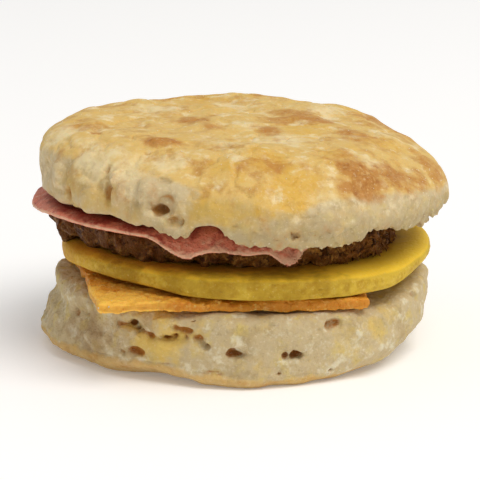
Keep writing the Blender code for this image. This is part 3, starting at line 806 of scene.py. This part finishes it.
PALE = (
    (19, -43.9, 43.2, 3.6, 1), (30, -27.5, 49.2, 5, 0.9), (20.6, 13.3, 53.9, 8, 0.8),
    (10.6, -20.6, 52.5, 9, 0.8), (2.6, -8, 53.6, 5, 0.8), (-20, 13, 54.4, 8, 0.8),
    (-2.5, 18, 54.1, 7, 0.7), (-42, -12.5, 52.3, 8, 0.8), (-32, -30, 51, 9, 0.9),
    (-25, -36.5, 50, 8, 0.9), (-18, -36, 51, 6, 0.8), (-4, -26, 52.5, 8, 0.5),
    (34, -3, 50.5, 5, 0.5),
)
CRAGGY = (
    (11.5, -45.5, 44.6, 6.5, 1), (1, -48.3, 43, 5, 0.6), (18, -42.5, 45, 4, 0.6),
    (37, -27, 44.5, 9, 0.5),
)
FLOURED = ((45.0, -15.0, 43.0, 10.0, 1.0),)
print("patches:", len(BROWNED + GOLDEN + BUTTERED + PALE + CRAGGY + FLOURED))

# %% The lid: bubbles, cracks, folds and blisters
# Each is x, y, z, width, height and depth in mm. A blister's depth is below zero.
LID_HOLES = (
    (-17.4, -42.7, 41.2, 6.2, 7, 2.6), (-14.6, -45.2, 38.9, 5, 1.8, 1.6),
    (-16.6, -42.7, 47.6, 4.6, 3, 1), (-23.6, -42.3, 42.6, 4, 3, 0.6),
    (-34, -30.7, 48.9, 3, 1.4, 0.7), (-36.4, -29.7, 47.1, 2.5, 1.5, 0.7),
    (-33.5, -33.6, 46, 2.5, 2.2, 0.7), (-31.9, -36.6, 44.8, 2.2, 3, 0.8),
    (-30.4, -35, 48.3, 2.2, 5, 1.3), (-29.9, -37.8, 43, 2.4, 7, 1.8),
    (-45.4, -14.5, 45, 2.2, 6, 0.9), (-38, -27, 41, 2.6, 6, 1.5),
    (-0.9, -48.1, 38.5, 3, 1.5, 1.2), (12, -47, 35.6, 3.6, 1.3, 1.6),
    (14.4, -46.5, 35.6, 1.8, 1, 1.2), (29.8, -39.8, 38.6, 1.3, 1.2, 1.2),
    (1.8, -47.5, 44.7, 2.6, 1.2, 0.9), (14.6, -43.4, 45.6, 1.5, 1.2, 0.9),
    (16.2, -42.5, 45.9, 1.4, 1.1, 0.9), (18, -41.9, 45.7, 1.5, 1.1, 0.9),
    (19.8, -41.8, 45.3, 1.4, 1.1, 0.9), (21.1, -41.9, 44.6, 1.3, 1.1, 0.8),
    (20.4, -44.3, 41.5, 2, 1, 0.8), (10.9, -41.7, 48, 3, 0.9, 0.7),
    (12.8, -46.2, 43, 1.3, 1.3, 1), (9.7, -45.9, 44.8, 1.2, 1.2, 0.9),
    (11.1, -44, 46.2, 1.4, 1.2, 0.9), (-33.8, -17.8, 54.1, 2.6, 3, 0.9),
    (-4.7, -41.3, 49.9, 1, 1.6, 0.8), (-24.6, -28.5, 53.1, 2.4, 1.2, 0.8),
    (-22.7, -29.8, 52.8, 2.6, 1.2, 0.9), (-20.8, -32, 52.1, 1.4, 3, 0.8),
    (1.1, -48.4, 39.7, 1.2, 1, 0.8), (34.7, -5.8, 50.3, 1.4, 2, 0.6),
    (18.5, -44.2, 43, 5, 3.4, 0.5),
    (-24.5, -40.5, 40, 2.4, 6, 0.8), (-42, -20, 40.5, 3, 7, 0.6),
)
LID_BLISTERS = (
    (-17.5, -27.5, 53.3, 8, 5, -0.8), (-33.5, -34, 41.5, 6, 8, -1.5),
    (-21.4, -42.6, 45.6, 3.4, 7, -0.9), (-26.5, -39, 44.5, 4.4, 9, -1.3),
    (-15.5, -34.2, 51.8, 8, 2.2, -0.7), (-13.5, -45.6, 36.8, 9, 3.8, -0.9),
    (-28.2, -37.5, 48, 3, 6, -1.1), (-41.5, -22, 44.5, 6, 8, -1.3),
    (-6, -47, 41, 8, 6, -0.6), (12.5, -46, 43, 3.6, 3, -0.6),
    (9, -45.6, 45, 3.4, 3, -0.6), (6, -47, 42, 4, 4, -0.6),
    (27, -34, 48, 9, 9, -0.5), (-35, -8, 53.5, 10, 9, -0.5),
    (5, -30, 52, 11, 9, -0.5), (16, 4, 53, 10, 9, -0.6),
    (-10, -8, 53.5, 12, 7, -0.6), (-6, 14, 54, 12, 9, -0.6),
    (36, -16, 47.5, 8, 8, -0.5),
)

lid = fine_copy("biscuit_top", 0.5, 4)
dent(lid, LID_BLISTERS + LID_HOLES, 0.5, 1)
mark_hollow_shade(lid, 60, 0.1, 1.2)

# %% The lid: a ragged fringe, and what is stored
places, normals = places_of(lid), normals_of(lid)
from_axis = np.hypot(places[:, 0], places[:, 1])
fringe = (1 - smooth_step(36, 39, places[:, 2])) * smooth_step(38, 43, from_axis)
places[:, 2] += fringe * (0.7 * wobble(places, 2.4, 8) + 0.8 * wobble(places, 1.0, 3))
move(lid, places)
ragged = 1.2 * wobble(places, 4, 6)
torn = 1 - smooth_step(-1.4, 2.4, places[:, 2] - around(places, CRUST_EDGE) + ragged)
baked = smooth_step(-2.4, 2.4, places[:, 2] - around(places, BAKED_EDGE) + 1.5 * wobble(places, 7, 9))
baked *= 1 - 0.9 * torn
store(lid, "torn", torn)
store(lid, "baked", baked)
# Painted shade: the torn side of the lid is painted darker towards its lower edge.
store(lid, "moist", torn * (1 - smooth_step(35, 44, places[:, 2] + ragged)))
store(lid, "rough", 0.2 + 0.25 * torn + 1.4 * spots(places, CRAGGY))
store(lid, "browned", spots(places, BROWNED) * (1 - torn))
store(lid, "golden", spots(places, GOLDEN) * (1 - torn))
store(lid, "buttered", spots(places, BUTTERED))
store(lid, "pale", spots(places, PALE) * (1 - 0.5 * torn))
store(lid, "ragged", smooth_step(0.9, 1.0, fringe) * (normals[:, 2] < 0.3) * torn)
store(lid, "floured", baked * (0.05 + spots(places, FLOURED)))
print("torn share of the lid", round(float(torn.mean()), 2))

# %% The lid: relief
grow(
    lid, RELIEF, CRUST, lump_size=9.0, lump_height=0.55, grain_size=1.6, grain_height=0.2,
    layer_size=3.0, layer_height=0.4, layer_flatness=0.4, crease_size=14.0, crease_depth=0.35,
    bubble_spacing=4.0, bubble_width=2.0, bubble_depth=0.8, bubble_share=0.3, seed=5.0,
)
mark_hollow_shade(lid, 10, 0.06, 0.4)
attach(lid, "root")
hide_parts("biscuit_top")

# %% [markdown]
# ## Ham
# Cured, pressed ham is cut thin. It is moist, deep pink with darker muscle and paler fat, and it dries
# to a tan along its cut edge. A thickened sheet of cloth could stand for it, but its drape is already
# in the solid, so a fine copy of that gets the low ripple of pressed muscle. Where the lid lies close
# above it, it is painted darkest, as painted shade from the lid, measured as the gap between the two.

# %% The ham finish
# Cured meat, pressed and sliced: satin, because its cut face is moist, and translucent red, so thin
# edges glow. Muscle lies in patches of 2 to 4 mm with fat between them.
HAM = start_finish(
    "cured_pressed_ham", "#e28468",
    [
        ("#ac4438", None, 4.0, 2.8, 0.5, 0.8, 0.75),
        ("#eeb496", None, 2.4, 3.0, 0.55, 1.0, 0.8),
        ("#e8ba96", "rim", 1.6, 1.6, 0.2, 0.9, 0.85),
        # Painted shade: the ham is darker where the lid lies close above it.
        ("#962a22", "pressed", 2.0, 1.8, 0.1, 0.95, 0.85),
        ("#86221b", None, 1.3, 2.8, 0.64, 1.1, 0.5),
        # Painted shade: darker in the ham's hollows.
        ("#7a2a20", "sunk", 1.5, 0.5, 0.3, 1.0, 0.6),
    ],
    [(1.4, 0.5), (0.5, 0.3)],
    Roughness=0.42, Specular_IOR_Level=0.4, IOR=1.38, Subsurface_Weight=0.25,
    Subsurface_Scale=1.0 * MM, Subsurface_Radius=(1.0, 0.35, 0.25),
)

# %% The ham slice
ham = fine_copy("ham_slice", 0.42, 3)
places, normals = places_of(ham), normals_of(ham)
mark_hollow_shade(ham, 30, 0.05, 0.35)
store(ham, "rim", 1 - smooth_step(0.35, 0.8, np.abs(normals[:, 2])))
cover = bmesh.new()
cover.from_mesh(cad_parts["biscuit_top"].data)
underside = BVHTree.FromBMesh(cover)
cover.free()
gap = np.array([underside.find_nearest(Vector(place))[3] for place in places * MM]) / MM
# Painted shade: the closer the lid above, the darker the ham is painted.
store(ham, "pressed", 1 - smooth_step(0.4, 3.5, gap))
store(ham, "rough", np.full(len(places), 0.8))
store(ham, "torn", np.zeros(len(places)))
store(ham, "tag", spots(places, ((15.0, -38.0, 28.5, 4.5, 1.0),)))
print("the ham lies", round(float(gap.min()), 2), "mm or more under the lid")
grow(
    ham, RELIEF, HAM, lump_size=6.0, lump_height=0.12, grain_size=1.4, grain_height=0.12,
    layer_height=0.0, bubble_depth=0.0, seed=8.0,
)
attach(ham, "root")
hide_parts("ham_slice")

# %% [markdown]
# ## Sausage
# The patty is minced meat, pressed and fried. Its side is a heap of browned lumps with dark gaps
# between them, and fat glistens on them. The gaps are also painted nearly black, as painted shade.
# Noise alone gives a rippled wall, not a heap. So lumps are scattered over the side, fused with the
# patty into one skin by a voxel remesh, and roughened.

# %% The sausage finish
# Minced pork, fried: dark brown crust with paler meat and fat between, and a slight wet shine. Its
# grains are 1.4 to 3.5 mm, as a mincer's plate leaves them.
SAUSAGE = start_finish(
    "fried_minced_meat", "#80501e",
    [
        ("#3c1c08", None, 2.6, 2.8, 0.5, 0.8, 0.85),
        ("#c08a40", None, 1.4, 3.2, 0.55, 1.0, 0.85),
        ("#c09658", None, 3.5, 2.8, 0.62, 1.1, 0.6),
        # Painted shade: the left side of the patty, under the ham, is darker.
        ("#341806", "charred", 3.0, 1.6, 0.1, 0.9, 0.5),
        # Painted shade: nearly black in the gaps between the lumps.
        ("#1f0d05", "sunk", 1.5, 0.5, 0.15, 0.9, 0.9),
    ],
    [(0.9, 0.5), (0.4, 0.25)],
    Roughness=0.45, Specular_IOR_Level=0.2, IOR=1.42, Subsurface_Weight=0.06,
    Subsurface_Scale=0.6 * MM,
)

# %% The sausage patty: a heap of lumps
SAUSAGE_MIDDLE = (-4.0, 5.0)


def from_sausage_axis(places):
    """How far each place lies from the upright axis of the sausage patty, in mm."""
    return np.hypot(places[:, 0] - SAUSAGE_MIDDLE[0], places[:, 1] - SAUSAGE_MIDDLE[1])


sausage = fine_copy("sausage_patty", 0.7, 2)
store(sausage, "lumpy", smooth_step(33, 37, from_sausage_axis(places_of(sausage))))
lumps = bpy.data.objects.new("meat_lumps", sausage.data.copy())
bpy.context.scene.collection.objects.link(lumps)
grow(
    lumps, SCATTER, SAUSAGE, forms=CRUMBS, where="lumpy", density=0.14, smallest=2.6, largest=6.4,
    sunk=0.4, seed=3,
)
heap = bmesh.new()
heap.from_mesh(sausage.data)
heap.from_mesh(lumps.data)
heap.to_mesh(sausage.data)
heap.free()
bpy.data.objects.remove(lumps)
even_skin(sausage, 0.45, 1)

# %% The sausage patty: what is stored, and relief
mark_hollow_shade(sausage, 60, 0.05, 0.6)
places = places_of(sausage)
store(sausage, "rough", np.ones(len(places)))
store(sausage, "torn", np.ones(len(places)))
on_right = smooth_step(14, 22, places[:, 0])
store(sausage, "shredded", on_right * smooth_step(34, 37, from_sausage_axis(places)))
# Painted shade: the patty is painted darker towards its left side.
store(sausage, "charred", 1 - smooth_step(-20, 5, places[:, 0]))
grow(
    sausage, RELIEF, SAUSAGE, lump_size=5.0, lump_height=0.2, grain_size=1.1, grain_height=0.22,
    layer_height=0.0, bubble_spacing=2.4, bubble_width=1.6, bubble_depth=0.6, bubble_share=0.5, seed=4.0,
)
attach(sausage, "root")
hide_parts("sausage_patty")

# %% [markdown]
# ## Egg
# The egg is beaten, poured in a ring and set by heat. Its faces are smooth and moist. Its rim, which
# set against the ring, is paler and full of small pores. Near the meat its top is painted browner, for
# fat from the meat and as painted shade under it. It could stay a plain disc with a bump map, but its
# rim shows pits against the shade, so they are real.

# %% The egg finish
# Beaten egg, set by heat in a mould: soft yellow satin that light enters deeply. Its upward face is
# painted brighter, as painted light. Near the meat it is browner for soaked-in fat and painted shade,
# and painted shade darkens it where less light reaches. Its pores are 0.7 to 2 mm.
EGG = start_finish(
    "set_beaten_egg", "#d4b23e",
    [
        ("#b48e24", None, 7.0, 2.2, 0.5, 0.9, 0.5),
        # Painted light: the upward face of the egg is a brighter yellow.
        ("#f8ce3e", "face", 6.0, 1.0, 0.0, 0.9, 1.0),
        ("#e4ca62", "rim", 1.2, 2.4, 0.9, 1.5, 0.5),
        ("#a87a18", "rim", 2.0, 2.4, 0.8, 1.4, 0.6),
        # Partly fat, partly painted shade: the egg's top is browner near the meat.
        ("#cb9226", "greased", 4.0, 0.8, 0.1, 0.9, 0.8),
        ("#9c7618", "shaded", 4.0, 1.4, 0.1, 1.0, 0.75),
        # Painted shade: browner in the egg's pores and hollows.
        ("#945c12", "sunk", 0.8, 0.4, 0.3, 0.9, 0.7),
        ("#e3cf80", None, 0.7, 2.6, 0.66, 1.1, 0.4),
    ],
    [(2.5, 0.3), (0.6, 0.25)],
    Roughness=0.55, Specular_IOR_Level=0.18, IOR=1.38, Subsurface_Weight=0.3,
    Subsurface_Scale=1.6 * MM, Subsurface_Radius=(1.0, 0.7, 0.2),
)

# %% The egg patty
EGG_SHADE = (
    (-26, -35, 18, 14, 0.9), (-8, -41, 19, 20, 0.8), (10, -42, 19, 18, 0.75),
)

egg = fine_copy("egg_patty", 0.5, 5)
places, normals = places_of(egg), normals_of(egg)
rim = 1 - smooth_step(0.35, 0.85, np.abs(normals[:, 2]))
store(egg, "rim", rim)
store(egg, "torn", rim)
store(egg, "rough", 0.35 + 0.5 * rim)
# Near the meat the egg's top is painted browner, partly for fat and partly as painted shade.
greased = 1 - smooth_step(38, 47, from_sausage_axis(places) + 1.5 * wobble(places, 5, 3))
store(egg, "greased", greased)
# Painted light: the egg's upward face, away from the meat, is painted brighter.
store(egg, "face", smooth_step(0.5, 0.9, normals[:, 2]) * (1 - greased))
store(egg, "shaded", spots(places, EGG_SHADE))
mark_hollow_shade(egg, 30, 0.05, 0.35)
print("share of the egg that is rim", round(float(rim.mean()), 2))
grow(
    egg, RELIEF, EGG, lump_size=12.0, lump_height=0.18, grain_size=1.2, grain_height=0.09,
    layer_size=3.0, layer_height=0.1, bubble_spacing=1.9, bubble_width=1.5, bubble_depth=0.35,
    bubble_share=0.4, seed=6.0,
)
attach(egg, "root")
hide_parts("egg_patty")

# %% [markdown]
# ## Cheese
# A slice of processed cheese has softened on the warm biscuit: it is satin, a little translucent, and
# crinkled where it was peeled and pressed. A bevel could round its edges evenly, but cheese slumps
# most where it is thinnest. So only its rim is smoothed, as far as a vertex group says.

# %% The cheese finish
# Processed cheese, cast as a slice: a smooth emulsion, so satin and evenly orange, with light inside
# it, and painted paler on its front left corner, as painted light. Its crinkles are 1.4 to 3 mm apart.
CHEESE = start_finish(
    "processed_cheese", "#dd9732",
    [
        ("#c47616", None, 2.4, 2.6, 0.5, 0.85, 0.75),
        ("#f6cf78", None, 1.4, 2.8, 0.56, 0.95, 0.8),
        # Painted light: the front left corner of the cheese is paler and brighter.
        ("#ffca56", "softened", 3.0, 2.0, 0.2, 1.0, 0.85),
        ("#b87018", "rim", 3.0, 1.0, 0.4, 1.2, 0.55),
        # Painted shade: darker in the cheese's crinkles and hollows.
        ("#b06510", "sunk", 1.5, 0.4, 0.2, 1.0, 0.7),
    ],
    [(1.2, 0.5), (0.5, 0.25)],
    Roughness=0.5, Specular_IOR_Level=0.3, IOR=1.42, Subsurface_Weight=0.3,
    Subsurface_Scale=1.5 * MM, Subsurface_Radius=(1.0, 0.5, 0.15),
)

# %% The cheese slice: a slumped edge
cheese = fine_copy("cheese_slice", 0.42, 6)
normals = normals_of(cheese)
melted = cheese.vertex_groups.new(name="melted")
for number, share in enumerate(1 - smooth_step(0.5, 0.95, np.abs(normals[:, 2]))):
    melted.add([number], float(share), "REPLACE")
slump = cheese.modifiers.new("melted edge", "SMOOTH")
slump.factor = 0.5
slump.iterations = 14
slump.vertex_group = "melted"
bake(cheese)
print("cheese", len(cheese.data.vertices), "vertices")

# %% The cheese slice: what is stored, and relief
places, normals = places_of(cheese), normals_of(cheese)
mark_hollow_shade(cheese, 30, 0.05, 0.35)
store(cheese, "rim", 1 - smooth_step(0.3, 0.8, np.abs(normals[:, 2])))
store(cheese, "rough", np.ones(len(places)))
store(cheese, "torn", np.zeros(len(places)))
# Painted light: a spot on the cheese's front left corner is painted brighter.
store(cheese, "softened", spots(places, ((-28.0, -42.0, 20.0, 16.0, 1.0),)))
store(cheese, "crumby", spots(places, ((-33.0, -43.0, 19.0, 4.0, 1.0), (-38.0, -22.0, 19.0, 7.0, 0.7))))
grow(
    cheese, RELIEF, CHEESE, lump_size=4.0, lump_height=0.35, grain_size=1.6, grain_height=0.18,
    layer_height=0.0, bubble_depth=0.0, crease_size=6.0, crease_depth=0.25, seed=7.0,
)
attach(cheese, "root")
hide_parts("cheese_slice")

# %% [markdown]
# ## Loose bits
# Splitting a biscuit leaves flakes along the torn edge and crumbs on what lies under it. Flour dusts
# the crust, and the meat frays into shreds at its edge. They could be spots of colour, but bits that
# stand up break the outline, which is what makes an edge look torn.

# %% The flour finish
# Wheat flour, milled: dead matt and nearly white. Its grains are too fine to show and are drawn 0.3 mm.
FLOUR = start_finish(
    "wheat_flour", "#f0e8d8", [("#e0d3b8", None, 1.0, 1.5, 0.0, 0.5, 0.5)], [(0.3, 0.05)], Roughness=0.9,
)

# %% Flakes and flour on the lid, crumbs on the cheese
flakes = scatter(
    lid, "torn_flakes", CRUMB, CRUMBS,
    where="ragged", density=0.25, smallest=0.3, largest=1.0, sunk=0.15, seed=11,
)
flour = scatter(
    lid, "flour_dust", FLOUR, CRUMBS,
    where="floured", density=0.25, smallest=0.12, largest=0.35, sunk=0.0, seed=12,
)
stray = scatter(
    cheese, "stray_crumbs", CRUMB, CRUMBS,
    where="crumby", density=0.25, smallest=0.2, largest=0.6, sunk=0.0, seed=13,
)

# %% Shreds on the sausage and the ham
shreds = scatter(
    sausage, "meat_shreds", SAUSAGE, SHREDS,
    where="shredded", density=1.2, smallest=1.2, largest=3.0, sunk=0.1, seed=14,
)
tag = scatter(
    ham, "ham_shreds", HAM, SHREDS,
    where="tag", density=0.8, smallest=0.8, largest=2.0, sunk=0.1, seed=15,
)

# %% [markdown]
# ## Floor, light and camera
# The sandwich stands on a plain white floor. A ring of lamps could fill every shadow, but food looks
# flat in it. One large soft light hangs high on the right instead, a pale world fills the shade, and a
# long lens looks down a little, as in a studio.

# %% The floor
FLOOR_HALF_WIDTH = 3.0
CARD = {
    "Base Color": (0.95, 0.95, 0.95, 1.0), "Roughness": 0.9,
    "Emission Color": (1.0, 1.0, 1.0, 1.0), "Emission Strength": 0.14,
}

floor_mesh = bpy.data.meshes.new("floor")
plane = bmesh.new()
bmesh.ops.create_grid(plane, x_segments=1, y_segments=1, size=FLOOR_HALF_WIDTH)
plane.to_mesh(floor_mesh)
plane.free()
floor = bpy.data.objects.new("floor", floor_mesh)
bpy.context.scene.collection.objects.link(floor)
# White card, matt, that gives back a little light as a lit sweep does.
white = bpy.data.materials.new("white_card")
white.use_nodes = True
for socket, value in CARD.items():
    white.node_tree.nodes["Principled BSDF"].inputs[socket].default_value = value
floor_mesh.materials.append(white)
print("floor", 2 * FLOOR_HALF_WIDTH, "m wide")

# %% The light
WORLD_STRENGTH = 0.47
KEY_PLACE = Vector((0.95, -0.80, 2.25))
KEY_AIM = Vector((0, 0, 0.03))
KEY_WIDTH = 2.00
KEY_POWER = 42.5
KEY_TONE = "#fffbf5"

world = bpy.data.worlds.new("studio")
bpy.context.scene.world = world
world.use_nodes = True
world.node_tree.nodes["Background"].inputs["Color"].default_value = (1.0, 1.0, 1.0, 1.0)
world.node_tree.nodes["Background"].inputs["Strength"].default_value = WORLD_STRENGTH
lamp = bpy.data.lights.new("key", "AREA")
lamp.shape = "DISK"
lamp.size = KEY_WIDTH
lamp.energy = KEY_POWER
lamp.color = linear(KEY_TONE)[:3]
key = bpy.data.objects.new("key", lamp)
key.location = KEY_PLACE
key.rotation_euler = (KEY_AIM - KEY_PLACE).to_track_quat("-Z", "Y").to_euler()
bpy.context.scene.collection.objects.link(key)
print("key light", round(KEY_PLACE.length, 2), "m away")

# %% The camera
CAMERA_DISTANCE = 550 * MM
CAMERA_ELEVATION = math.radians(13.5)
CAMERA_AIM = Vector((0.0, 0.0, 24 * MM))
SENSOR_WIDTH = 36.0
LENS_LENGTH = 169.95

lens = bpy.data.cameras.new("camera")
lens.sensor_width = SENSOR_WIDTH
lens.lens = LENS_LENGTH
camera = bpy.data.objects.new("camera", lens)
camera.location = CAMERA_AIM + CAMERA_DISTANCE * Vector((
    0.0, -math.cos(CAMERA_ELEVATION), math.sin(CAMERA_ELEVATION),
))
camera.rotation_euler = (math.pi / 2 - CAMERA_ELEVATION, 0.0, 0.0)
bpy.context.scene.collection.objects.link(camera)
bpy.context.scene.camera = camera
bpy.context.scene.view_settings.view_transform = "Standard"
bpy.context.scene.view_settings.look = "None"
print("camera", round(CAMERA_DISTANCE, 2), "m away")
